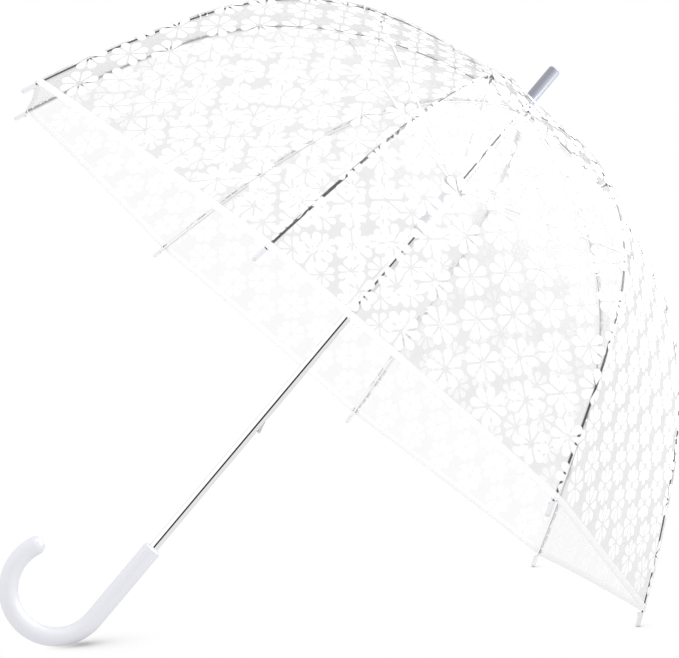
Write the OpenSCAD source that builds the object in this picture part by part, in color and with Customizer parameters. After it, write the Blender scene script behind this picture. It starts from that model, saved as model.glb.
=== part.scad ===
// Clear bubble umbrella: a deep eight-rib dome on a straight shaft with a crook handle.
// The shaft runs along +Z, the crook opens towards +X, and the origin is the middle of the grip.

/* [Handle] */
// Length of the straight grip
grip_len = 100; // [80:1:130]
// Diameter of the grip and the crook
grip_d = 20.5; // [18:0.5:26]
// Centreline radius of the crook
crook_r = 52; // [40:1:60]
// How far the crook turns, in degrees
crook_turn = 203; // [170:1:220]
// How deep the shaft sits in the grip
shaft_seat = 80; // [50:1:90]

/* [Shaft] */
// Outside diameter of the shaft tube
shaft_d = 10; // [9:0.5:12]
// Wall of the shaft tube
shaft_wall = 0.6; // [0.5:0.1:1]
// From the top of the grip to the foot of the ferrule
shaft_len = 650; // [600:5:750]

/* [Ferrule] */
// Length of the ferrule
ferrule_len = 52; // [40:1:60]
// Diameter of the ferrule
ferrule_d = 14; // [13:0.5:16]

/* [Ribs] */
// Turn of the first rib about the shaft, in degrees
rib_start = 32.5; // [0:0.5:45]
// Diameter of the rib wire
rib_d = 3; // [2.4:0.1:3.4]
// Slope of an open rib where it leaves the notch, in degrees
rib_tilt = 0.5; // [0:0.5:4]
// Length of the rib from the notch to its first bend
upper_len = 228; // [220:1:236]
// Length of the rib between its two bends
middle_len = 190; // [180:1:200]
// Length of the rib from its second bend to its end
lower_len = 198; // [185:1:205]
// How much the upper length curves, in degrees
upper_turn = 28; // [22:0.5:32]
// How much the middle length curves, in degrees
middle_turn = 31; // [24:0.5:34]
// How much the lower length curves, in degrees
lower_turn = 8; // [2:0.5:16]
// Radius of the circle that the ribs hinge on
notch_pivot_r = 10; // [9.6:0.1:10.4]

/* [Stretchers] */
// Diameter of the stretcher wire
stretcher_d = 2.6; // [2:0.1:3]
// From the notch to the stretcher clip, along the rib
clip_at = 207; // [200:1:212]
// How far the clip's pivot hangs inside the rib
clip_drop = 9; // [8:0.5:11]
// Radius at which the stretchers meet the runner
runner_pivot_r = 14.2; // [14:0.1:15]
// From the notch down to the open runner
runner_drop = 112; // [105:1:120]

/* [Canopy] */
// Thickness of the clear film
film_t = 0.2; // [0.15:0.05:0.5]
// How far the hem stops short of the rib's end
hem_short = 9.5; // [9:0.5:14]
// How far the hem rises between two ribs
hem_rise = 2; // [0:1:25]

/* [Hidden] */
RIBS = [1:8];
$fn = 48;

gap = 0.3;          // between pieces that move past each other
snug = 0.02;        // between pieces that are pressed together
pitch = 45;         // between neighbouring ribs, in degrees
grip_r = grip_d / 2;
shaft_r = shaft_d / 2;
bore_r = shaft_r - shaft_wall;
rib_r = rib_d / 2;
grip_top = grip_len / 2;
ferrule_z = grip_top + shaft_len;
notch_z = ferrule_z - 11;         // height of the ribs' hinge circle
runner_z = notch_z - runner_drop; // height of the stretchers' hinge circle, open
rib_len = upper_len + middle_len + lower_len;

// Hub pieces
ring_r = 0.7;       // wire of both hinge rings
eye_r = 2.8;        // round end of a rib
notch_r = 14;
notch_half = 5;     // half of the notch's height
crown_r = 17;       // toothed crown of the runner
crown_half = 4.5;
crown_floor = 9.9;  // how deep the crown's slots go
runner_ring = 11.2; // radius of the runner's hinge ring
skirt_r = 8.4;
skirt_len = 64;
key_w = 3.4;        // keyway that the catches pass through
key_r = 8.9;

// Catches: a leaf that slopes out through a slot in the shaft
catch_len = 18;
catch_out = 3.6;    // how far the tooth stands out of the shaft
catch_w = 2.4;
lower_catch_z = grip_top + 188; // hinge end of the lower catch
upper_catch_z = runner_z - 52;  // hinge end of the upper catch

// Rib fittings
ball_r = 2.2;       // ball at each bend of a rib
sleeve_r = 2.5;     // clip sleeve round the rib
tip_r = 2.4;
tip_len = 13;
cap_gap = 0.05;     // round the rib inside its tip cap

// A station on the rib is [distance from the shaft, height, slope].
// An arc is [length, turn]: it leads from one station to the next.
UPPER = [upper_len, upper_turn];
MIDDLE = [middle_len, middle_turn];
LOWER = [lower_len, lower_turn];
RIB = [UPPER, MIDDLE, LOWER];
function bend_radius(arc) = arc[0] / (arc[1] * PI / 180);
function along(p, arc) = let (r = bend_radius(arc), a = p[2] + arc[1])
    [p[0] + r * (sin(a) - sin(p[2])), p[1] + r * (cos(a) - cos(p[2])), a];
function part_of(arc, s) = [s, arc[1] * s / arc[0]];
function station(s, p = [notch_pivot_r, notch_z, rib_tilt], i = 0) =
    s <= RIB[i][0] || i == len(RIB) - 1
        ? (s == 0 ? p : along(p, part_of(RIB[i], s)))
        : station(s - RIB[i][0], along(p, RIB[i]), i + 1);
ROOT = station(0);
FIRST_BEND = station(upper_len);
SECOND_BEND = station(upper_len + middle_len);
CLIP = station(clip_at);
END = station(rib_len);

// The clip's pivot, below the rib, and the stretcher's reach and slope
clip_x = CLIP[0] - clip_drop * sin(CLIP[2]);
clip_z = CLIP[1] - clip_drop * cos(CLIP[2]);
reach = norm([clip_x - runner_pivot_r, clip_z - runner_z]);
stretcher_slope = atan2(clip_z - runner_z, clip_x - runner_pivot_r);

function azimuth(n) = rib_start + pitch * (n - 1);

module at_rib(n) { rotate([0, 0, azimuth(n)]) children(); }

module at_station(p) { translate([p[0], 0, p[1]]) rotate([0, p[2], 0]) children(); }

// A wire that leaves a station along the rib and bends downwards
module wire_arc(start, arc, r) {
    bend = bend_radius(arc);
    at_station(start) translate([0, 0, -bend]) rotate([90, 0, 0]) rotate([0, 0, 90 - arc[1]])
        rotate_extrude(angle = arc[1], $fn = 96) translate([bend, 0]) circle(r = r, $fn = 24);
}

module cross_pin(r, w) { rotate([90, 0, 0]) cylinder(h = w, r = r, center = true, $fn = 32); }

module tube(outer, inner, z0, z1) {
    translate([0, 0, z0]) difference() {
        cylinder(h = z1 - z0, r = outer);
        translate([0, 0, -1]) cylinder(h = z1 - z0 + 2, r = inner);
    }
}

module ring(r, wire) { rotate_extrude($fn = 96) translate([r, 0]) circle(r = wire, $fn = 24); }

// Radial slots for the ribs or the stretchers, from the floor radius outwards
module radial_slots(z0, z1, floor_r, w) {
    for (n = RIBS) at_rib(n)
        translate([floor_r, -w / 2, z0]) cube([20, w, z1 - z0]);
}

// A round end on a short root that goes into the piece below it
module round_end(r, root) {
    rotate_extrude() {
        translate([0, -root]) square([r, root]);
        intersection() {
            circle(r = r);
            square(r + 1);
        }
    }
}

// ---- handle and shaft ----

module handle() {
    chamfer = 2;
    color("white") difference() {
        union() {
            translate([0, 0, -grip_top]) cylinder(h = grip_len - chamfer, r = grip_r);
            translate([0, 0, grip_top - chamfer])
                cylinder(h = chamfer, r1 = grip_r, r2 = grip_r - chamfer);
            translate([crook_r, 0, -grip_top]) rotate([90, 0, 0]) {
                rotate([0, 0, 180]) rotate_extrude(angle = crook_turn, $fn = 96)
                    translate([crook_r, 0]) circle(r = grip_r);
                rotate([0, 0, 180 + crook_turn]) translate([crook_r, 0]) rotate([-90, 0, 0])
                    round_end(grip_r - 0.05, 1);
            }
        }
        translate([0, 0, grip_top - shaft_seat]) cylinder(h = shaft_seat + 1, r = shaft_r + snug);
    }
}

module shaft() {
    top = ferrule_z + ferrule_len - 12;
    color("silver") difference() {
        tube(shaft_r, bore_r, grip_top - shaft_seat, top);
        for (z = [lower_catch_z - catch_len - 1.5, upper_catch_z + 0.5])
            translate([-shaft_r - 1, -catch_w / 2 - gap, z]) cube([shaft_r, catch_w + 2 * gap, catch_len + 1]);
        translate([0, 0, runner_z + 8]) cross_pin(1 + snug, shaft_d + 4);
    }
}

module ferrule() {
    edge = 3;
    color("white") translate([0, 0, ferrule_z]) difference() {
        union() {
            cylinder(h = ferrule_len - edge, r = ferrule_d / 2);
            translate([0, 0, ferrule_len - edge]) rotate_extrude() {
                square([ferrule_d / 2 - edge, edge]);
                intersection() {
                    translate([ferrule_d / 2 - edge, 0]) circle(r = edge);
                    square(ferrule_d);
                }
            }
        }
        translate([0, 0, -1]) cylinder(h = ferrule_len - 11, r = shaft_r + snug);
    }
}

// ---- hub at the top ----

module crown_cap() {
    color("white") rotate_extrude(convexity = 4)
        polygon([[shaft_r + snug, ferrule_z - 2.6], [12, ferrule_z - 4], [12.4, ferrule_z - 3.2],
                 [8, ferrule_z], [shaft_r + snug, ferrule_z]]);
}

module top_notch() {
    slot_top = notch_z + eye_r + gap;
    color("white") difference() {
        tube(notch_r, shaft_r + snug, notch_z - notch_half, notch_z + notch_half);
        radial_slots(notch_z - notch_half - 1, slot_top, notch_pivot_r - eye_r - gap, rib_d + 0.8);
        translate([0, 0, notch_z]) ring(notch_pivot_r, ring_r + snug);
    }
}

module notch_wire() { color("silver") translate([0, 0, notch_z]) ring(notch_pivot_r, ring_r); }

// ---- runner and catches ----

module stop_pin() { color("silver") translate([0, 0, runner_z + 8]) cross_pin(1, shaft_d + 4); }

module runner() {
    color("white") difference() {
        union() {
            translate([0, 0, runner_z - crown_half]) cylinder(h = 2 * crown_half, r = crown_r);
            translate([0, 0, runner_z - crown_half - skirt_len]) cylinder(h = skirt_len + 1, r = skirt_r);
        }
        translate([0, 0, runner_z - crown_half - skirt_len - 1])
            cylinder(h = skirt_len + 2 * crown_half + 2, r = shaft_r + 0.1);
        radial_slots(runner_z - crown_half - 1, runner_z + crown_half + 1, crown_floor, stretcher_d + 0.8);
        translate([0, 0, runner_z]) ring(runner_ring, ring_r + snug);
        translate([-key_r, -key_w / 2, runner_z - crown_half - skirt_len - 1])
            cube([key_r, key_w, skirt_len + 2 * crown_half + 2]);
    }
}

module runner_wire() { color("silver") translate([0, 0, runner_z]) ring(runner_ring, ring_r); }

// A sloping leaf in the -X side of the shaft: hinged at z = 0, with its tooth at z = -catch_len
module catch_leaf() {
    out = shaft_r + catch_out;
    color("silver") rotate([90, 0, 0]) linear_extrude(height = catch_w, center = true)
        polygon([[1.2, 2.5], [-1.2, 2.5], [-1.2, 0.5], [-shaft_r + 0.4, -2], [-out, 1.2 - catch_len],
                 [-out + 0.3, -catch_len], [-2.2, -catch_len], [-1.8, -8], [1.2, -0.5]]);
}

module lower_catch() { translate([0, 0, lower_catch_z]) catch_leaf(); }

module upper_catch() { translate([0, 0, upper_catch_z]) mirror([0, 0, 1]) catch_leaf(); }

// Plugs inside the shaft that hold the root of each leaf
module catch_seats() {
    color("silver") for (z = [lower_catch_z + 2.8, upper_catch_z - 8.8])
        translate([0, 0, z]) cylinder(h = 6, r = bore_r - snug);
}

// ---- ribs and stretchers ----

// Clip that carries the stretcher's pivot: a sleeve round the rib, with an ear below it
module clip(w) {
    at_station(CLIP) {
        translate([-4, 0, 0]) rotate([0, 90, 0]) cylinder(h = 8, r = sleeve_r);
        translate([-2.4, -w / 2, -clip_drop]) cube([4.8, w, clip_drop]);
        translate([0, 0, -clip_drop]) cross_pin(2.4, w);
    }
}

module rib_upper(n) {
    ear_w = 1.6;
    color("silver") at_rib(n) difference() {
        union() {
            wire_arc(ROOT, UPPER, rib_r);
            at_station(ROOT) cross_pin(eye_r, rib_d);
            at_station(FIRST_BEND) sphere(r = ball_r);
            clip(ear_w);
        }
        at_station(ROOT) cross_pin(ring_r + 0.25, rib_d + 1);
        translate([clip_x, 0, clip_z]) cross_pin(0.85, ear_w + 1);
    }
}

module rib_middle(n) {
    color("silver") at_rib(n) {
        difference() {
            wire_arc(FIRST_BEND, MIDDLE, rib_r);
            at_station(FIRST_BEND) sphere(r = ball_r + gap);
        }
        at_station(SECOND_BEND) sphere(r = ball_r);
    }
}

module rib_lower(n) {
    color("silver") at_rib(n) difference() {
        wire_arc(SECOND_BEND, LOWER, rib_r);
        at_station(SECOND_BEND) sphere(r = ball_r + gap);
    }
}

// Cap over the end of the rib, with the small eye that the hem is tied to
module rib_tip(n) {
    start = station(rib_len - hem_short + 1);
    color("white") at_rib(n) difference() {
        at_station(start) union() {
            rotate([0, 90, 0]) cylinder(h = tip_len, r = tip_r);
            translate([tip_len, 0, 0]) sphere(r = tip_r);
            translate([2.2, 0, -tip_r]) cross_pin(1.7, 1.4);
        }
        at_station(start) translate([-1, 0, 0]) rotate([0, 90, 0]) cylinder(h = hem_short + gap, r = rib_r + cap_gap);
        at_station(start) translate([2.2, 0, -tip_r - 0.4]) cross_pin(0.6, 3);
    }
}

// Straight wire with a fork and its rivet at the clip, and a round end at the runner
module stretcher(n) {
    fork_len = 9;
    cheek = 0.9;
    half_gap = 1.1;
    color("silver") at_rib(n) translate([clip_x, 0, clip_z]) rotate([0, 180 - stretcher_slope, 0]) {
        for (side = [-1, 1]) translate([0, side * (half_gap + cheek / 2), 0]) {
            cross_pin(2.2, cheek);
            translate([0, -cheek / 2, -1.5]) cube([fork_len, cheek, 3]);
        }
        cross_pin(0.75, 2 * (half_gap + cheek));
        translate([fork_len - 2, -half_gap - cheek, -1.5]) cube([2, 2 * (half_gap + cheek), 3]);
        translate([fork_len - 1, 0, 0]) rotate([0, 90, 0]) cylinder(h = reach - fork_len + 1, r = stretcher_d / 2);
        translate([reach, 0, 0]) cross_pin(2, stretcher_d);
    }
}

// ---- canopy ----

// Height of the film above the rib's centreline: it lifts over the notch near the shaft
function film_lift(s) = 3 + 3.8 * pow(max(0, 1 - s / 50), 2);

// A point of the film over the rib at distance s, raised by up: [distance from the shaft, height]
function film_station(s, up) = let (p = station(max(s, 0)), b = min(s, 0), h = film_lift(s) + up)
    [p[0] + b * cos(p[2]) + h * sin(p[2]), p[1] - b * sin(p[2]) + h * cos(p[2])];

// The same point across the gore: t runs from -1 at one rib to 1 at the next
function film_point(s, t, up) = let (q = film_station(s, up), h = pitch / 2, g = gap)
    [q[0] * cos(h) + g * sin(h), t * (q[0] * sin(h) - g * cos(h)), q[1]];

function hem_at(t) = rib_len - hem_short - hem_rise * (1 - t * t);

// One gore between rib n and the next, from the crown to the hem
module canopy_panel(n) {
    rows = 16;
    cols = 8;
    crown_s = -4;
    layer = (rows + 1) * (cols + 1);
    function at(side, i, j) = side * layer + i * (cols + 1) + j;
    points = [for (side = [0, 1], i = [0:rows], j = [0:cols])
        let (t = 2 * j / cols - 1, s = crown_s + (hem_at(t) - crown_s) * i / rows)
        film_point(s, t, side * film_t)];
    skin = [for (side = [0, 1], i = [0:rows - 1], j = [0:cols - 1])
        let (a = at(side, i, j), b = at(side, i, j + 1), c = at(side, i + 1, j + 1), d = at(side, i + 1, j))
        each side == 1 ? [[a, b, c], [a, c, d]] : [[a, c, b], [a, d, c]]];
    ends = [for (j = [0:cols - 1]) each [
        [at(0, 0, j), at(0, 0, j + 1), at(1, 0, j + 1), at(1, 0, j)],
        [at(1, rows, j), at(1, rows, j + 1), at(0, rows, j + 1), at(0, rows, j)]]];
    sides = [for (i = [0:rows - 1]) each [
        [at(0, i, 0), at(1, i, 0), at(1, i + 1, 0), at(0, i + 1, 0)],
        [at(1, i, cols), at(0, i, cols), at(0, i + 1, cols), at(1, i + 1, cols)]]];
    color("azure", 0.3) rotate([0, 0, azimuth(n) + pitch / 2])
        polyhedron(points = points, faces = concat(skin, ends, sides), convexity = 6);
}

// ---- assembly ----

handle();
shaft();
ferrule();
crown_cap();
top_notch();
notch_wire();
stop_pin();
runner();
runner_wire();
lower_catch();
upper_catch();
catch_seats();
for (n = RIBS) {
    rib_upper(n);
    rib_middle(n);
    rib_lower(n);
    rib_tip(n);
    stretcher(n);
    canopy_panel(n);
}
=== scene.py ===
import math

import bmesh
import bpy
from mathutils import Matrix, Vector


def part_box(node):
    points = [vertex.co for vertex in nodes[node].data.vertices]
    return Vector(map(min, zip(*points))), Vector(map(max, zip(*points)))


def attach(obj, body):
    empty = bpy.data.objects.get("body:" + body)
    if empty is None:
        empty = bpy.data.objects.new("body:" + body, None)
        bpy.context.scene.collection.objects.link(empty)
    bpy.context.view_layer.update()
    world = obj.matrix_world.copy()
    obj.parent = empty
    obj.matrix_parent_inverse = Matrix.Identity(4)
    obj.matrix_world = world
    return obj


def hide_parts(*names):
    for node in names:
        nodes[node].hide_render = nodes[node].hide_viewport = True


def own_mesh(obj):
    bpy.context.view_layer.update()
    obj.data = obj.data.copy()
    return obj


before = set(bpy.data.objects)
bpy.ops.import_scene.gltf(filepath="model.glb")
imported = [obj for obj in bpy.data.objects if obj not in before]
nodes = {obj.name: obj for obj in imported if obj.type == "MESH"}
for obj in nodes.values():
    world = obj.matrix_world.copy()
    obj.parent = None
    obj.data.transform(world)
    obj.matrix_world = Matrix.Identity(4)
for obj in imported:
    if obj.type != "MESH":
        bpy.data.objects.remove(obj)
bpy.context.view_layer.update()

scene = bpy.context.scene
mm = 0.001
print("frame loaded:", len(nodes), "nodes")

ribs = {
    "count": 8, "start": 32.5, "pitch": 45.0,          # turn of the first rib and between ribs, degrees
    "rootRadius": 10.0, "rootHeight": 689.0, "rootSlope": 0.5,
    "lengths": [(228.0, 28.0), (190.0, 31.0), (198.0, 8.0)],   # length and turn of each piece, mm and degrees
    "bodies": ["upper", "middle", "lower"],
    "filmLift": 3.0, "crownLift": 3.8, "crownFade": 50.0,
    "hemShort": 9.5, "hemRise": 2.0, "crownStart": -4.0,
}
ribLength = sum(length for length, turn in ribs["lengths"])
halfPitch = math.radians(ribs["pitch"] / 2)
bendsAt = [sum(length for length, turn in ribs["lengths"][:k]) for k in range(3)]


def alongArc(start, length, turn, share):      # start is radius, height, slope
    radius = length / math.radians(turn)
    a, b = math.radians(start[2]), math.radians(start[2] + turn * share)
    return (start[0] + radius * (math.sin(b) - math.sin(a)),
            start[1] + radius * (math.cos(b) - math.cos(a)), start[2] + turn * share)


def station(s):      # radius, height and slope of the rib's centreline, s mm from its hinge
    point = (ribs["rootRadius"], ribs["rootHeight"], ribs["rootSlope"])
    left = max(s, 0.0)
    for i, (length, turn) in enumerate(ribs["lengths"]):
        if left <= length or i == 2:
            return alongArc(point, length, turn, left / length)
        point = alongArc(point, length, turn, 1.0)
        left -= length


def filmStation(s, up=0.0):      # radius and height of the film over a rib
    r, z, slope = station(s)
    a = math.radians(slope)
    lift = ribs["filmLift"] + ribs["crownLift"] * max(0.0, 1 - s / ribs["crownFade"]) ** 2 + up
    before = min(s, 0.0)
    return r + before * math.cos(a) + lift * math.sin(a), z - before * math.sin(a) + lift * math.cos(a)


def ribTurn(n):
    return math.radians(ribs["start"] + ribs["pitch"] * (n - 1))


def atTurn(angle, radius, side, height):      # a point from its distances out, across and up, in mm
    c, s = math.cos(angle), math.sin(angle)
    return Vector((radius * c - side * s, radius * s + side * c, height)) * mm


# length down the middle line of a gore, for the print
gorePath = [0.0]
goreStep = 2.0
lastPoint = filmStation(ribs["crownStart"])
for k in range(1, 320):
    here = filmStation(ribs["crownStart"] + goreStep * k)
    gorePath.append(gorePath[-1] + math.hypot((here[0] - lastPoint[0]) * math.cos(halfPitch), here[1] - lastPoint[1]))
    lastPoint = here


def goreLength(s):
    x = (s - ribs["crownStart"]) / goreStep
    i = min(max(int(x), 0), len(gorePath) - 2)
    return gorePath[i] + (gorePath[i + 1] - gorePath[i]) * (x - i)


def hemAt(t):
    return ribLength - ribs["hemShort"] - ribs["hemRise"] * (1 - t * t)


film = {
    "sag": 1.6, "sagOver": 160,          # how far the middle of a gore is pulled in, and over what length, mm
    "ripple": 0.5, "rippleFrom": 380, "rippleOver": 230,      # soft waves towards the hem, mm
    "hemWidth": 7.0, "hemGap": 0.5,
    "rows": [24, 20, 20], "columns": 10,
    "widthSpare": 1.05, "lengthSpare": 1.03,      # allowances on the cut, taken by judgement
}


def filmPoint(n, s, t, up=0.0):      # t is -1 at rib n and 1 at the next one
    wave = math.sin(math.pi * (t + 1) / 2)
    depth = film["sag"] * min(1.0, max(0.0, s) / film["sagOver"]) * wave ** 2
    hemShare = max(0.0, (s - film["rippleFrom"]) / film["rippleOver"]) ** 2
    ripple = film["ripple"] * hemShare * wave * math.sin(7.5 * math.pi * t + 0.8 * n) * math.cos(s / 46 + n)
    r, z = filmStation(s, up)
    a = math.radians(station(s)[2])
    push = ripple - depth
    r2, z2 = r * math.cos(halfPitch) + push * math.sin(a), z + push * math.cos(a)
    return atTurn(ribTurn(n) + halfPitch, r2, t * r * math.sin(halfPitch), z2)


class Tree:      # short hand for wiring a material or the world

    def __init__(self, owner, outputKind="OutputMaterial"):
        self.owner = owner
        owner.use_nodes = True
        self.nodes, self.links = owner.node_tree.nodes, owner.node_tree.links
        self.nodes.clear()
        self.output = self.nodes.new("ShaderNode" + outputKind)

    def feed(self, socket, value):
        if isinstance(value, bpy.types.NodeSocket):
            self.links.new(value, socket)
        else:
            socket.default_value = value

    def add(self, kind, **inputs):
        node = self.nodes.new("ShaderNode" + kind)
        for key, value in inputs.items():
            self.feed(node.inputs[key.replace("_", " ")], value)
        return node

    def math(self, operation, *values, clamp=False):
        node = self.nodes.new("ShaderNodeMath")
        node.operation, node.use_clamp = operation, clamp
        for i, value in enumerate(values):
            self.feed(node.inputs[i], value)
        return node.outputs[0]

    def ramp(self, value, low, high, toLow=0.0, toHigh=1.0, smooth=True):
        node = self.add("MapRange", Value=value)
        node.interpolation_type = "SMOOTHSTEP" if smooth else "LINEAR"
        for i, number in zip((1, 2, 3, 4), (low, high, toLow, toHigh)):
            node.inputs[i].default_value = number
        return node.outputs[0]

    def mixColour(self, share, first, second):
        node = self.nodes.new("ShaderNodeMix")
        node.data_type = "RGBA"
        for i, value in ((0, share), (6, first), (7, second)):
            self.feed(node.inputs[i], value)
        return node.outputs[2]

    def mixShader(self, share, first, second):
        node = self.nodes.new("ShaderNodeMixShader")
        for i, value in ((0, share), (1, first), (2, second)):
            self.feed(node.inputs[i], value)
        return node.outputs[0]

    def finish(self, surface):
        self.links.new(surface, self.output.inputs["Surface"])
        return self.owner


def grey(value, blue=0.0):
    return (value, value, min(1.0, value + blue), 1.0)


printed = {
    "acrossHalf": 0.0262, "alongHalf": 0.0305,     # half the spacing of the flowers, metres
    "lastRow": 0.5605, "phase": 0.020, "radius": 0.0202,
    "petals": 8, "slit": 0.0022, "soften": 0.0003,
    "inkAlpha": 0.95, "filmAlpha": 0.02, "hemAlpha": 0.8, "weldAlpha": 0.05, "foldLine": 0.3,
    "hemEdge": (0.0078, 0.0072), "foldEdge": (0.0011, 0.0006),     # soft edges, metres from the hem
    "weldOuter": (0.0036, 0.0031), "weldInner": (0.0019, 0.0024),     # and from the rib's seam
}


def daisyMask(tree, u, v):      # 1 inside the petals of a staggered print of plain eight-petal daisies
    p = printed
    a, b, half = p["acrossHalf"], p["alongHalf"], math.pi / p["petals"]
    m = tree.math
    u0, v0 = m("SUBTRACT", u, p["phase"]), m("SUBTRACT", v, p["lastRow"])
    xa, ya = m("WRAP", u0, a, -a), m("WRAP", v0, b, -b)
    xb, yb = m("WRAP", m("ADD", u0, a), a, -a), m("WRAP", m("ADD", v0, b), b, -b)
    ra = m("SQRT", m("ADD", m("MULTIPLY", xa, xa), m("MULTIPLY", ya, ya)))
    rb = m("SQRT", m("ADD", m("MULTIPLY", xb, xb), m("MULTIPLY", yb, yb)))
    useB = m("LESS_THAN", rb, ra)
    x = m("ADD", xa, m("MULTIPLY", useB, m("SUBTRACT", xb, xa)))
    y = m("ADD", ya, m("MULTIPLY", useB, m("SUBTRACT", yb, ya)))
    r = m("MINIMUM", ra, rb)
    turn = m("WRAP", m("SUBTRACT", m("ARCTAN2", y, x), half), half, -half)
    along, across = m("MULTIPLY", r, m("COSINE", turn)), m("ABSOLUTE", m("MULTIPLY", r, m("SINE", turn)))
    centre = p["radius"] / (1 + math.sin(half))
    bulge = p["radius"] - centre - p["slit"] / 2
    cone = m("SUBTRACT", m("MULTIPLY", along, math.tan(half)), m("ADD", across, p["slit"] / 2))
    cone = m("MINIMUM", cone, m("SUBTRACT", centre * math.cos(half) ** 2, along))
    off = m("SUBTRACT", along, centre)
    bulb = m("SUBTRACT", bulge, m("SQRT", m("ADD", m("MULTIPLY", off, off), m("MULTIPLY", across, across))))
    petal = tree.ramp(m("MAXIMUM", cone, bulb), -p["soften"], p["soften"])
    beyond = m("MULTIPLY", useB, m("GREATER_THAN", v0, 0.0))
    return m("MULTIPLY", petal, m("SUBTRACT", 1.0, beyond))


def glare(tree, base, strength, roughness, floor):      # gloss over a see-through sheet, the same from both sides
    facing = tree.add("LayerWeight", Blend=0.5).outputs["Facing"]
    share = tree.math("ADD", floor, tree.math("MULTIPLY", tree.math("POWER", facing, 5.0), strength), clamp=True)
    gloss = tree.add("BsdfGlossy", Roughness=roughness, Color=grey(1.0))
    return tree.mixShader(share, base, gloss.outputs[0])


def clearFilm(name):
    p, tree = printed, Tree(bpy.data.materials.new(name))
    place = tree.add("UVMap")
    place.uv_map = "cut"
    flat = tree.add("SeparateXYZ", Vector=place.outputs[0])
    edge = tree.add("UVMap")
    edge.uv_map = "edge"
    edges = tree.add("SeparateXYZ", Vector=edge.outputs[0])
    toSeam, toHem = edges.outputs[0], edges.outputs[1]
    ink = daisyMask(tree, flat.outputs[0], flat.outputs[1])
    hem = tree.ramp(toHem, *p["hemEdge"])
    weld = tree.math("MULTIPLY", tree.ramp(toSeam, *p["weldOuter"]), tree.ramp(toSeam, *p["weldInner"]))
    clearHere = tree.math("MAXIMUM", tree.math("MULTIPLY", hem, p["hemAlpha"]),
                          tree.math("MULTIPLY", weld, p["weldAlpha"]))
    clearHere = tree.math("MAXIMUM", clearHere, p["filmAlpha"])
    cover = tree.math("MAXIMUM", clearHere, tree.math("MULTIPLY", ink, p["inkAlpha"]))
    foldLine = tree.ramp(toHem, *p["foldEdge"])
    cloud = tree.add("TexNoise", Vector=place.outputs[0], Scale=26.0, Detail=2.0)
    outerShadeTint = tree.mixColour(tree.ramp(cloud.outputs[0], 0.35, 0.7), grey(0.875, 0.004), grey(0.895, 0.003))
    inner = tree.mixColour(tree.ramp(cloud.outputs[0], 0.35, 0.7), grey(0.955, 0.002), grey(0.970, 0.002))
    tint = tree.mixColour(tree.add("NewGeometry").outputs["Backfacing"], outerShadeTint, inner)      # painted shade: seen from outside, the film is tinted darker than seen from inside
    tint = tree.mixColour(tree.math("MULTIPLY", foldLine, p["foldLine"]), tint, grey(0.45, 0.02))
    through = tree.add("BsdfTransparent", Color=tint)
    grain = tree.add("TexNoise", Vector=place.outputs[0], Scale=900.0, Detail=2.0)
    bump = tree.add("Bump", Height=grain.outputs[0], Strength=0.03, Distance=0.0002)
    body = tree.add("BsdfPrincipled", Roughness=0.42, Normal=bump.outputs[0])
    body.inputs["Base Color"].default_value = grey(0.88)
    body.inputs["Specular IOR Level"].default_value = 0.3
    covered = tree.mixShader(cover, through.outputs[0], body.outputs[0])
    return tree.finish(glare(tree, covered, 0.2, 0.16, 0.02))


def moulded(name, colour, roughness, specular=0.5, mottle=0.015, coat=0.0, scale=28.0,
            parting=0.0):      # plastic with a faint mottle and the fine skin of the mould
    tree = Tree(bpy.data.materials.new(name))
    place = tree.add("TexCoord").outputs["Object"]
    cloud = tree.add("TexNoise", Vector=place, Scale=scale, Detail=3.0)
    fine = tree.add("TexNoise", Vector=place, Scale=320.0, Detail=1.0)
    dark = tuple(c * (1 - mottle) for c in colour[:3]) + (1.0,)
    tint = tree.mixColour(tree.ramp(cloud.outputs[0], 0.3, 0.7), dark, colour)
    gloss = tree.ramp(cloud.outputs[0], 0.3, 0.7, roughness * 0.92, roughness * 1.1)
    skin = fine.outputs[0]
    if parting > 0:      # the raised line where the two halves of the mould met
        side = tree.add("SeparateXYZ", Vector=place).outputs[1]
        seam = tree.ramp(tree.math("ABSOLUTE", side), parting, 0.0, 0.0, 6.0)
        skin = tree.math("ADD", skin, seam)
    bump = tree.add("Bump", Height=skin, Strength=0.04, Distance=0.00003)
    body = tree.add("BsdfPrincipled", Base_Color=tint, Roughness=gloss, Normal=bump.outputs[0])
    body.inputs["Specular IOR Level"].default_value = specular
    body.inputs["Coat Weight"].default_value = coat
    body.inputs["Coat Roughness"].default_value = 0.12
    return tree.finish(body.outputs[0])


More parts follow.
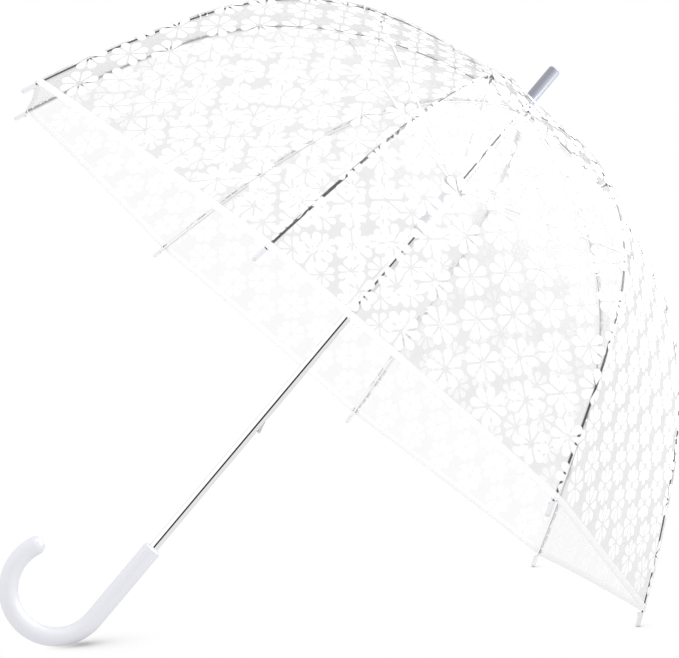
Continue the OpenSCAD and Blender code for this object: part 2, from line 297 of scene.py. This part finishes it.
def polished(name, colour, roughness, streak, wear, paintedShadeColour=None):      # plated steel, drawn and unevenly polished
    tree = Tree(bpy.data.materials.new(name))
    place = tree.add("TexCoord").outputs["Object"]
    stretch = tree.add("Mapping", Vector=place)
    stretch.inputs["Scale"].default_value = streak
    drawn = tree.add("TexNoise", Vector=stretch.outputs[0], Scale=1.0, Detail=2.0)
    spots = tree.add("TexNoise", Vector=place, Scale=140.0, Detail=4.0)
    dull = tuple(c * (1 - wear) for c in colour[:3]) + (1.0,)
    tint = tree.mixColour(tree.ramp(spots.outputs[0], 0.45, 0.75), colour, dull)
    if paintedShadeColour:      # painted shade and painted dark reflection: the outward-facing side of a rib is painted near black
        away = tree.add("VectorMath", Vector=place)
        away.operation = "SUBTRACT"
        away.inputs[1].default_value = (0.0, 0.0, 0.40)
        unit = tree.add("VectorMath", Vector=away.outputs[0])
        unit.operation = "NORMALIZE"
        lean = tree.add("VectorMath", Vector=tree.add("TexCoord").outputs["Normal"])
        lean.operation = "DOT_PRODUCT"
        tree.links.new(unit.outputs[0], lean.inputs[1])
        tint = tree.mixColour(tree.ramp(lean.outputs["Value"], -0.1, 0.35), tint, paintedShadeColour)
    gloss = tree.math("ADD", tree.ramp(drawn.outputs[0], 0.3, 0.7, roughness * 0.7, roughness * 1.3),
                      tree.ramp(spots.outputs[0], 0.55, 0.8, 0.0, wear))
    bump = tree.add("Bump", Height=drawn.outputs[0], Strength=0.015, Distance=0.00003)
    body = tree.add("BsdfPrincipled", Base_Color=tint, Roughness=gloss, Normal=bump.outputs[0])
    body.inputs["Metallic"].default_value = 1.0
    return tree.finish(body.outputs[0])


def clearMoulding(name):      # stiff clear plastic for the crown cap and the weld strips
    tree = Tree(bpy.data.materials.new(name))
    place = tree.add("TexCoord").outputs["Object"]
    cloud = tree.add("TexNoise", Vector=place, Scale=120.0, Detail=2.0)
    tint = tree.mixColour(tree.ramp(cloud.outputs[0], 0.35, 0.7), grey(0.978, 0.002), grey(0.990))
    through = tree.add("BsdfTransparent", Color=tint)
    body = tree.add("BsdfPrincipled", Roughness=0.3)
    body.inputs["Base Color"].default_value = grey(0.9, 0.01)
    haze = tree.ramp(cloud.outputs[0], 0.3, 0.75, 0.01, 0.04)
    return tree.finish(glare(tree, tree.mixShader(haze, through.outputs[0], body.outputs[0]), 0.12, 0.12, 0.012))


printedFilm = clearFilm("printedFilm")
weldFilm = clearMoulding("weldFilm")
# painted shade: the handle is white plastic; its base colour is set darker to match its shaded tone under these bright
# lamps
handlePlastic = moulded("handlePlastic", (0.675, 0.675, 0.722, 1.0), 0.38, 0.4, 0.012, 0.1, 22.0, 0.00035)
# painted shade: the ferrule is white plastic, but its base colour is dark grey-blue, standing in for its shaded side;
# ferruleLight lights its other side. The ferrule_band shares it
ferrulePlastic = moulded("ferrulePlastic", (0.235, 0.24, 0.285, 1.0), 0.36, 0.35, 0.02, 0.1)
hubPlastic = moulded("hubPlastic", (0.68, 0.68, 0.71, 1.0), 0.36, 0.45, 0.03)
tipPlastic = moulded("tipPlastic", (0.70, 0.70, 0.73, 1.0), 0.34, 0.45, 0.03)
thread = moulded("thread", (0.88, 0.88, 0.88, 1.0), 0.7, 0.2, 0.08, 0.0, 900.0)
shaftChrome = polished("shaftChrome", (0.95, 0.95, 0.96, 1.0), 0.07, (500.0, 500.0, 10.0), 0.03)
wireSteel = polished("wireSteel", (0.90, 0.90, 0.91, 1.0), 0.42, (300.0, 300.0, 300.0), 0.04)
# the last colour is painted shade and dark reflection on each rib's outward side
ribSteel = polished("ribSteel", (0.92, 0.92, 0.93, 1.0), 0.14, (200.0, 200.0, 200.0), 0.04, (0.05, 0.05, 0.055, 1.0))
catchSteel = polished("catchSteel", (0.93, 0.93, 0.94, 1.0), 0.5, (60.0, 500.0, 60.0), 0.06)
print("materials ready")


def dress(names, material):
    for name in names:
        slots = nodes[name].data.materials
        slots.clear()
        slots.append(material)


numbers = range(1, ribs["count"] + 1)
dress(["handle"], handlePlastic)
dress(["ferrule"], ferrulePlastic)
dress(["crown_cap"], weldFilm)
dress(["top_notch", "runner"], hubPlastic)
dress(["shaft"], shaftChrome)
dress(["notch_wire", "runner_wire", "stop_pin"], wireSteel)
dress(["lower_catch", "upper_catch", "catch_seats"], catchSteel)
dress([f"rib_{n}_{part}" for n in numbers for part in ribs["bodies"]], ribSteel)
dress([f"stretcher_{n}" for n in numbers], wireSteel)
dress([f"rib_tip_{n}" for n in numbers], tipPlastic)


def makePiece(name, bm, material, smooth=True):
    mesh = bpy.data.meshes.new(name)
    bm.to_mesh(mesh)
    bm.free()
    for face in mesh.polygons:
        face.use_smooth = smooth
    mesh.materials.append(material)
    obj = bpy.data.objects.new(name, mesh)
    scene.collection.objects.link(obj)
    return obj


def filmBand(n, side, part):      # film of one rib length, from rib n to the middle of a gore
    gore = n if side == "left" else (n - 2) % ribs["count"] + 1
    tRib, tMiddle = (-1.0, 0.0) if side == "left" else (1.0, 0.0)
    first = ribs["crownStart"] if part == 0 else bendsAt[part]

    def endAt(t):
        return hemAt(t) if part == 2 else bendsAt[part + 1]

    rows, columns = film["rows"][part], film["columns"]
    bm = bmesh.new()
    bmesh.ops.create_grid(bm, x_segments=columns, y_segments=rows, size=1.0)
    cut, edge = bm.loops.layers.uv.new("cut"), bm.loops.layers.uv.new("edge")
    rest = {}
    for vert in bm.verts:
        across, down = (vert.co.x + 1) / 2, (vert.co.y + 1) / 2
        t = tRib + (tMiddle - tRib) * across
        s = first + (endAt(t) - first) * down
        halfChord = filmStation(s)[0] * math.sin(halfPitch)
        rest[vert] = (t * halfChord * mm, goreLength(s) * mm, (1 - abs(t)) * halfChord * mm,
                      max(0.0, hemAt(t) - s) * mm if part == 2 else 0.2)
        vert.co = filmPoint(gore, s, t)
    if part == 2:      # the hem is turned in and welded down
        low = [e for e in bm.edges if e.is_boundary and all(abs(rest[v][3]) < 1e-6 for v in e.verts)]
        ring = low
        for back, under in ((-0.25, 0.25), (0.0, film["hemGap"]), (film["hemWidth"], film["hemGap"])):
            made = bmesh.ops.extrude_edge_only(bm, edges=ring)["geom"]
            for vert in [g for g in made if isinstance(g, bmesh.types.BMVert)]:
                near = min((w.other_vert(vert) for w in vert.link_edges if w.other_vert(vert) in rest),
                           key=lambda w: (w.co - vert.co).length)
                u = rest[near][0]
                t = u / (filmStation(hemAt(0.0))[0] * math.sin(halfPitch) * mm)
                t = max(-1.0, min(1.0, t))
                s = hemAt(t) - back
                vert.co = filmPoint(gore, s, t, -under)
                rest[vert] = (u, printed["lastRow"] + printed["alongHalf"], 0.2, 0.0)
            ring = [g for g in made if isinstance(g, bmesh.types.BMEdge) and g.is_boundary
                    and all(v in made for v in g.verts)]
    bm.normal_update()
    middle = sum((f.normal for f in bm.faces), Vector())
    outward = filmPoint(gore, first + 20, (tRib + tMiddle) / 2, 10) - filmPoint(gore, first + 20, (tRib + tMiddle) / 2)
    if middle.dot(outward) < 0:
        bmesh.ops.reverse_faces(bm, faces=bm.faces[:])
    for face in bm.faces:
        for loop in face.loops:
            u, v, toSeam, toHem = rest[loop.vert]
            loop[cut].uv = (u, v)
            loop[edge].uv = (toSeam, toHem)
    area = sum(f.calc_area() for f in bm.faces)
    ends = [filmStation(s)[0] * math.sin(halfPitch) * mm for s in (first, endAt(0))]
    piece = makePiece(f"canopy_{n}_{ribs['bodies'][part]}_{side}", bm, printedFilm)
    turn = ribTurn(n)
    top, bottom = filmStation(first), filmStation(endAt(1))
    a, b = atTurn(turn, top[0], 0, top[1]), atTurn(turn, bottom[0], 0, bottom[1])
    sideways = (filmPoint(gore, first + 30, tMiddle) - filmPoint(gore, first + 30, tRib)).normalized()
    down = (b - a).normalized()
    body = f"rib_{n}_{ribs['bodies'][part]}"
    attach(piece, body)
    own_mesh(piece)
    piece.visible_shadow = piece.visible_diffuse = piece.visible_glossy = False
    return piece


for n in numbers:
    for part in range(3):
        bands = [filmBand(n, side, part) for side in ("left", "right")]
        if part == 0:
            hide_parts(f"canopy_panel_{n}")
print("canopy made")


# weld strip over each rib, where two gores meet
weld = {"gap": 2.2, "half": 1.7, "lift": 0.12, "thickness": 0.25, "steps": [22, 18, 18]}


def weldStrip(n, part):
    first = 6.0 if part == 0 else bendsAt[part] + weld["gap"]
    last = hemAt(1) if part == 2 else bendsAt[part + 1] - weld["gap"]
    bm = bmesh.new()
    bmesh.ops.create_grid(bm, x_segments=4, y_segments=weld["steps"][part], size=1.0)
    for vert in bm.verts:
        s = first + (last - first) * (vert.co.y + 1) / 2
        r, z = filmStation(s)
        a, reach = math.radians(station(s)[2]), vert.co.x * weld["half"]
        droop = abs(reach) * math.tan(halfPitch) * math.sin(a)
        out = weld["lift"] + weld["thickness"] - droop
        vert.co = atTurn(ribTurn(n), r + out * math.sin(a), reach, z + out * math.cos(a))
    bm.normal_update()
    facing = sum((f.normal for f in bm.faces), Vector())
    a = math.radians(station((first + last) / 2)[2])
    if facing.dot(atTurn(ribTurn(n), math.sin(a), 0, math.cos(a))) < 0:
        bmesh.ops.reverse_faces(bm, faces=bm.faces[:])
    piece = makePiece(f"weld_{n}_{ribs['bodies'][part]}", bm, weldFilm)
    shell = piece.modifiers.new("thickness", "SOLIDIFY")
    shell.thickness, shell.offset = weld["thickness"] * mm, -1.0
    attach(piece, f"rib_{n}_{ribs['bodies'][part]}")
    piece.visible_shadow = piece.visible_diffuse = piece.visible_glossy = False


for n in numbers:
    for part in range(3):
        weldStrip(n, part)
print("weld strips made")


def hoop(bm, radius, wire, at, wide=1.0, arc=2 * math.pi, sides=10, steps=32):      # cord or band round the X axis
    shape = Matrix.Translation((at * mm, 0, radius * mm)) @ Matrix.Diagonal((wide, 1, 1, 1))
    ring = bmesh.ops.create_circle(bm, segments=sides, radius=wire * mm,
                                   matrix=shape @ Matrix.Rotation(math.pi / 2, 4, "X"))["verts"]
    whole = arc > 6.28
    bmesh.ops.spin(bm, geom=ring + list({e for v in ring for e in v.link_edges}), cent=(0, 0, 0), axis=(1, 0, 0),
                   angle=arc, steps=steps, use_merge=whole)
    if not whole:
        bmesh.ops.holes_fill(bm, edges=[e for e in bm.edges if e.is_boundary], sides=0)


def onRib(bm, n, s, out=0.0):      # moves a piece made round X to a station of rib n
    r, z, slope = station(s)
    a = math.radians(slope)
    place = Matrix.Rotation(ribTurn(n), 4, "Z") @ Matrix.Translation(((r + out * math.sin(a)) * mm, 0,
                                                                     (z + out * math.cos(a)) * mm))
    bmesh.ops.transform(bm, matrix=place @ Matrix.Rotation(a, 4, "Y"), verts=bm.verts)


ties = {
    "wire": 0.24, "gap": 0.44, "radius": 2.75, "out": 1.05, "past": 7.0,      # thread round a rib and the film's seam
    "hemRadius": 3.15, "hemOut": 0.7, "hemWire": 0.3, "hemBack": 1.8,
    "knot": 0.62, "turns": 4,
}


def threadTie(name, n, s, body, radius, wire, out, turns):
    bm = bmesh.new()
    for k in range(turns):
        hoop(bm, radius, wire, (k - (turns - 1) / 2) * ties["gap"] * wire / ties["wire"], sides=8, steps=28)
    knot = bmesh.ops.create_uvsphere(bm, u_segments=12, v_segments=8, radius=ties["knot"] * mm)["verts"]
    bmesh.ops.scale(bm, vec=(1.25, 0.9, 0.7), verts=knot)
    bmesh.ops.translate(bm, vec=(0, 0.25 * mm, -(radius + 0.15) * mm), verts=knot)
    bmesh.ops.recalc_face_normals(bm, faces=bm.faces[:])
    onRib(bm, n, s, out)
    piece = makePiece(name, bm, thread)
    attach(piece, body)


for n in numbers:
    for k in (1, 2):
        threadTie(f"tie_{n}_{k}", n, bendsAt[k] + ties["past"], f"rib_{n}_{ribs['bodies'][k]}",
                  ties["radius"], ties["wire"], ties["out"], ties["turns"])
    threadTie(f"hem_tie_{n}", n, ribLength - ribs["hemShort"] - ties["hemBack"], f"rib_{n}_lower",
              ties["hemRadius"], ties["hemWire"], ties["hemOut"], 2)
print("ties made")


def roundShaft(name, bands, material, body, arc=2 * math.pi):      # band: radius, height, wire, width
    bm = bmesh.new()
    for radius, height, wire, wide in bands:
        hoop(bm, radius, wire, height, wide, arc, 12, 64)
    bmesh.ops.recalc_face_normals(bm, faces=bm.faces[:])
    turn = Matrix.Rotation((2 * math.pi - arc) / 2, 4, "Z") @ Matrix.Rotation(-math.pi / 2, 4, "Y")
    bmesh.ops.transform(bm, matrix=turn, verts=bm.verts)
    piece = makePiece(name, bm, material)
    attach(piece, body)


fittings = {
    "collar": [(6.0, 50.25, 0.55, 1.1), (8.1, 49.6, 0.4, 1.0)],
    "ferruleBand": [(7.0, 701.4, 0.45, 2.2), (7.05, 705.2, 0.22, 1.0)],
    "runnerGap": 0.62,
}
roundShaft("handle_collar", fittings["collar"], handlePlastic, "frame")
roundShaft("ferrule_band", fittings["ferruleBand"], ferrulePlastic, "frame")
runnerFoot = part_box("runner")[0][2] / mm
roundShaft("runner_bands", [(8.4, runnerFoot + h, 0.4, 1.2) for h in (1.0, 12.0, 15.0, 18.0, 21.0)], hubPlastic,
           "runner", 2 * math.pi - fittings["runnerGap"])
print("fittings made")


shot = {
    "place": (0.02564, 1.87721, 0.17669),
    "right": (-0.764659, 0.075864, 0.639954), "up": (0.64427, 0.067517, 0.761812),
    "lens": 89.854, "sensor": 36.0,
}
cameraData = bpy.data.cameras.new("camera")
cameraData.lens, cameraData.sensor_width = shot["lens"], shot["sensor"]
cameraData.clip_start, cameraData.clip_end = 0.05, 60.0
camera = bpy.data.objects.new("camera", cameraData)
scene.collection.objects.link(camera)
right, up = Vector(shot["right"]).normalized(), Vector(shot["up"])
up = (up - up.dot(right) * right).normalized()
camera.matrix_world = Matrix.Translation(shot["place"]) @ Matrix((right, up, right.cross(up))).transposed().to_4x4()
scene.camera = camera
scene.view_settings.view_transform = "Standard"

# the umbrella rests on the crook and on two neighbouring rib tips
tipA, tipB = [sum((Vector(c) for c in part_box(f"rib_tip_{n}")), Vector()) / 2 for n in (4, 5)]
between = (tipB - tipA).normalized()
handlePoints = [v.co.copy() for v in nodes["handle"].data.vertices]
tipPoints = [v.co.copy() for v in nodes["rib_tip_4"].data.vertices]
upright = Vector((0, 0, 1)) - Vector((0, 0, 1)).dot(between) * between
upright.normalize()
inward = upright.cross(between)
if inward.dot(tipA) > 0:
    inward = -inward


def restGap(angle):
    normal = math.cos(angle) * inward + math.sin(angle) * upright
    return min(normal.dot(p) for p in handlePoints) - min(normal.dot(p) for p in tipPoints)


leanSearch = {"from": 20, "to": 70, "steps": 40}
low, high = math.radians(leanSearch["from"]), math.radians(leanSearch["to"])
for step in range(leanSearch["steps"]):
    middle = (low + high) / 2
    if (restGap(middle) > 0) == (restGap(low) > 0):
        low = middle
    else:
        high = middle
floorNormal = math.cos(low) * inward + math.sin(low) * upright
floorLevel = min(floorNormal.dot(p) for p in handlePoints + tipPoints)
print("floor leans", round(math.degrees(low), 2), "degrees")

floorSet = {"size": 3.2, "fadeFrom": 1.0, "fadeTo": 1.55, "shadowReach": 0.07, "shadowFrom": 0.35, "shadowTo": 0.93,
            "deepest": 0.35, "crookAside": 0.066, "crookReach": 0.085, "tipReach": 0.03, "coreShare": 0.35}
bm = bmesh.new()
bmesh.ops.create_circle(bm, cap_ends=True, segments=96, radius=floorSet["size"] / 2)
centre = Vector((0, 0, 0.3))
foot = centre + (floorLevel - floorNormal.dot(centre)) * floorNormal
bmesh.ops.transform(bm, matrix=Matrix.Translation(foot) @ floorNormal.to_track_quat("Z", "Y").to_matrix().to_4x4(),
                    verts=bm.verts)
tree = Tree(bpy.data.materials.new("paleFloor"))
place = tree.add("TexCoord").outputs["Object"]
away = tree.add("VectorMath", Vector=place)
away.operation = "DISTANCE"
away.inputs[1].default_value = foot
fade = tree.ramp(away.outputs["Value"], floorSet["fadeFrom"], floorSet["fadeTo"])
behind = tree.add("NewGeometry").outputs["Backfacing"]
# painted shadow: the floor's white glow is dimmed by ambient occlusion, only in spots at the crook (set aside towards
# the camera's right) and at the two resting rib tips
near = tree.add("AmbientOcclusion", Distance=floorSet["shadowReach"])
near.samples = 12
shade = tree.ramp(near.outputs["AO"], floorSet["shadowFrom"], floorSet["shadowTo"], floorSet["deepest"], 1.0)
crookFoot = min(handlePoints, key=lambda p: floorNormal.dot(p))
contactShadowMask = 0.0
acrossFloor = (right - right.dot(floorNormal) * floorNormal).normalized()
for point, reach in ((crookFoot + floorSet["crookAside"] * acrossFloor, floorSet["crookReach"]),
                     (tipA, floorSet["tipReach"]), (tipB, floorSet["tipReach"])):
    gap = tree.add("VectorMath", Vector=place)
    gap.operation = "DISTANCE"
    gap.inputs[1].default_value = point
    contactShadowMask = tree.math("MAXIMUM", contactShadowMask, tree.ramp(gap.outputs["Value"], reach, reach * floorSet["coreShare"]))
shade = tree.math("SUBTRACT", 1.0, tree.math("MULTIPLY", contactShadowMask, tree.math("SUBTRACT", 1.0, shade)))
white = tree.add("Emission", Color=grey(1.0), Strength=shade)
openShare = tree.math("MAXIMUM", fade, behind)
floor = makePiece("floor", bm, tree.finish(tree.mixShader(openShare, white.outputs[0],
                                                          tree.add("BsdfTransparent").outputs[0])), False)
floor.visible_glossy = False

sky = {
    "left": 1.15, "right": 0.84, "behind": 0.58,      # brightness on the crook's side, on the other and behind
    "top": 8.0, "lens": 0.02, "front": 1.22,      # soft patch overhead, dark camera side, light from the front
}
world = bpy.data.worlds.new("studio")
scene.world = world
studio = Tree(world, "OutputWorld")
toward = studio.add("TexCoord").outputs["Generated"]


def skyShare(direction, low, high):
    node = studio.add("VectorMath", Vector=toward)
    node.operation = "DOT_PRODUCT"
    node.inputs[1].default_value = Vector(direction).normalized()
    return studio.ramp(node.outputs["Value"], low, high)


def skyMix(share, first, second):
    return studio.math("ADD", studio.math("MULTIPLY", share, second),
                       studio.math("MULTIPLY", studio.math("SUBTRACT", 1.0, share), first))


level = skyMix(skyShare((1.0, 0.0, -0.15), -0.2, 0.6), sky["right"], sky["left"])
level = skyMix(skyShare((0.0, -1.0, 0.0), 0.5, 0.95), level, sky["behind"])
rays = studio.add("LightPath").outputs
overhead = studio.math("MULTIPLY", skyShare((-0.15, -0.15, 0.97), 0.82, 0.94), rays["Is Glossy Ray"])
level = skyMix(overhead, level, sky["top"])
lensSide = studio.math("MULTIPLY", skyShare((0.0, 1.0, 0.05), 0.90, 0.965), rays["Is Glossy Ray"])
level = skyMix(lensSide, level, sky["lens"])
frontal = studio.math("MULTIPLY", skyShare((0.0, 1.0, 0.2), -0.3, 0.7),
                      studio.math("SUBTRACT", 1.0, rays["Is Glossy Ray"]))
level = skyMix(frontal, level, sky["front"])
level = skyMix(rays["Is Camera Ray"], level, 1.0)
studio.finish(studio.add("Background", Color=grey(1.0), Strength=level).outputs[0])


def softbox(name, place, target, size, power):
    light = bpy.data.lights.new(name, "AREA")
    light.shape, light.size, light.size_y, light.energy = "RECTANGLE", size[0], size[1], power
    lamp = bpy.data.objects.new(name, light)
    scene.collection.objects.link(lamp)
    lamp.visible_camera = False
    lamp.location = place
    lamp.rotation_mode = "QUATERNION"
    lamp.rotation_quaternion = (target - place).to_track_quat("-Z", "Y")


lamps = {
    "topTarget": (0, 0, 0.45), "topAway": 2.3, "topSize": (2.2, 2.2), "topPower": 9,
    "ferrulePlace": (-0.42, 0.16, 0.76), "ferruleTarget": (0, 0, 0.74), "ferruleSize": (0.16, 0.16),
    "ferrulePower": 3.6,
}
middlePoint = Vector(lamps["topTarget"])
softbox("topLight", middlePoint + lamps["topAway"] * floorNormal, middlePoint, lamps["topSize"], lamps["topPower"])
softbox("ferruleLight", Vector(lamps["ferrulePlace"]), Vector(lamps["ferruleTarget"]), lamps["ferruleSize"],
        lamps["ferrulePower"])
print("camera, floor and light ready")
